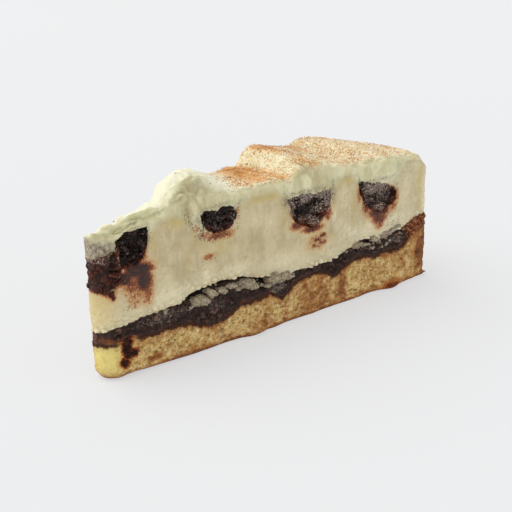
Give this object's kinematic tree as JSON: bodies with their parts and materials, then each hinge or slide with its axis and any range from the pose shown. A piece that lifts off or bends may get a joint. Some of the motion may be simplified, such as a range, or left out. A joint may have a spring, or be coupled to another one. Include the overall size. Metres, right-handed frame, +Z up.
{
  "type": "cheesecake slice",
  "caption": "Cut slice of cinnamon bun cheesecake: sponge, dark cinnamon filling, cream with rings of cinnamon crumb, and ridged frosting dusted with cinnamon.",
  "frame": {"origin": "centre of the slice's box at the level of the flat face it rests on", "axes": "+X from the nose to the outer rim, +Z up; the cut face that the picture shows is towards -Y"},
  "size_m": [0.1242, 0.0436, 0.0507],
  "materials": {
    "sponge": "open, dry crumb, browned at the outer crust and underneath",
    "cinnamon_filling": "dark, rough and slightly moist",
    "cheesecake": "smooth cut cream, satin",
    "cinnamon_crumb": "dark, lumpy and wet",
    "frosting": "soft satin, dusted with ground cinnamon"
  },
  "bodies": {
    "root": {"sponge_base": "sponge", "cinnamon_layer": "cinnamon_filling", "cheesecake": "cheesecake", "cinnamon_swirl_1": "cinnamon_crumb", "cinnamon_swirl_2": "cinnamon_crumb", "cinnamon_swirl_3": "cinnamon_crumb", "cinnamon_swirl_4": "cinnamon_crumb", "frosting": "frosting"}
  },
  "joints": []
}
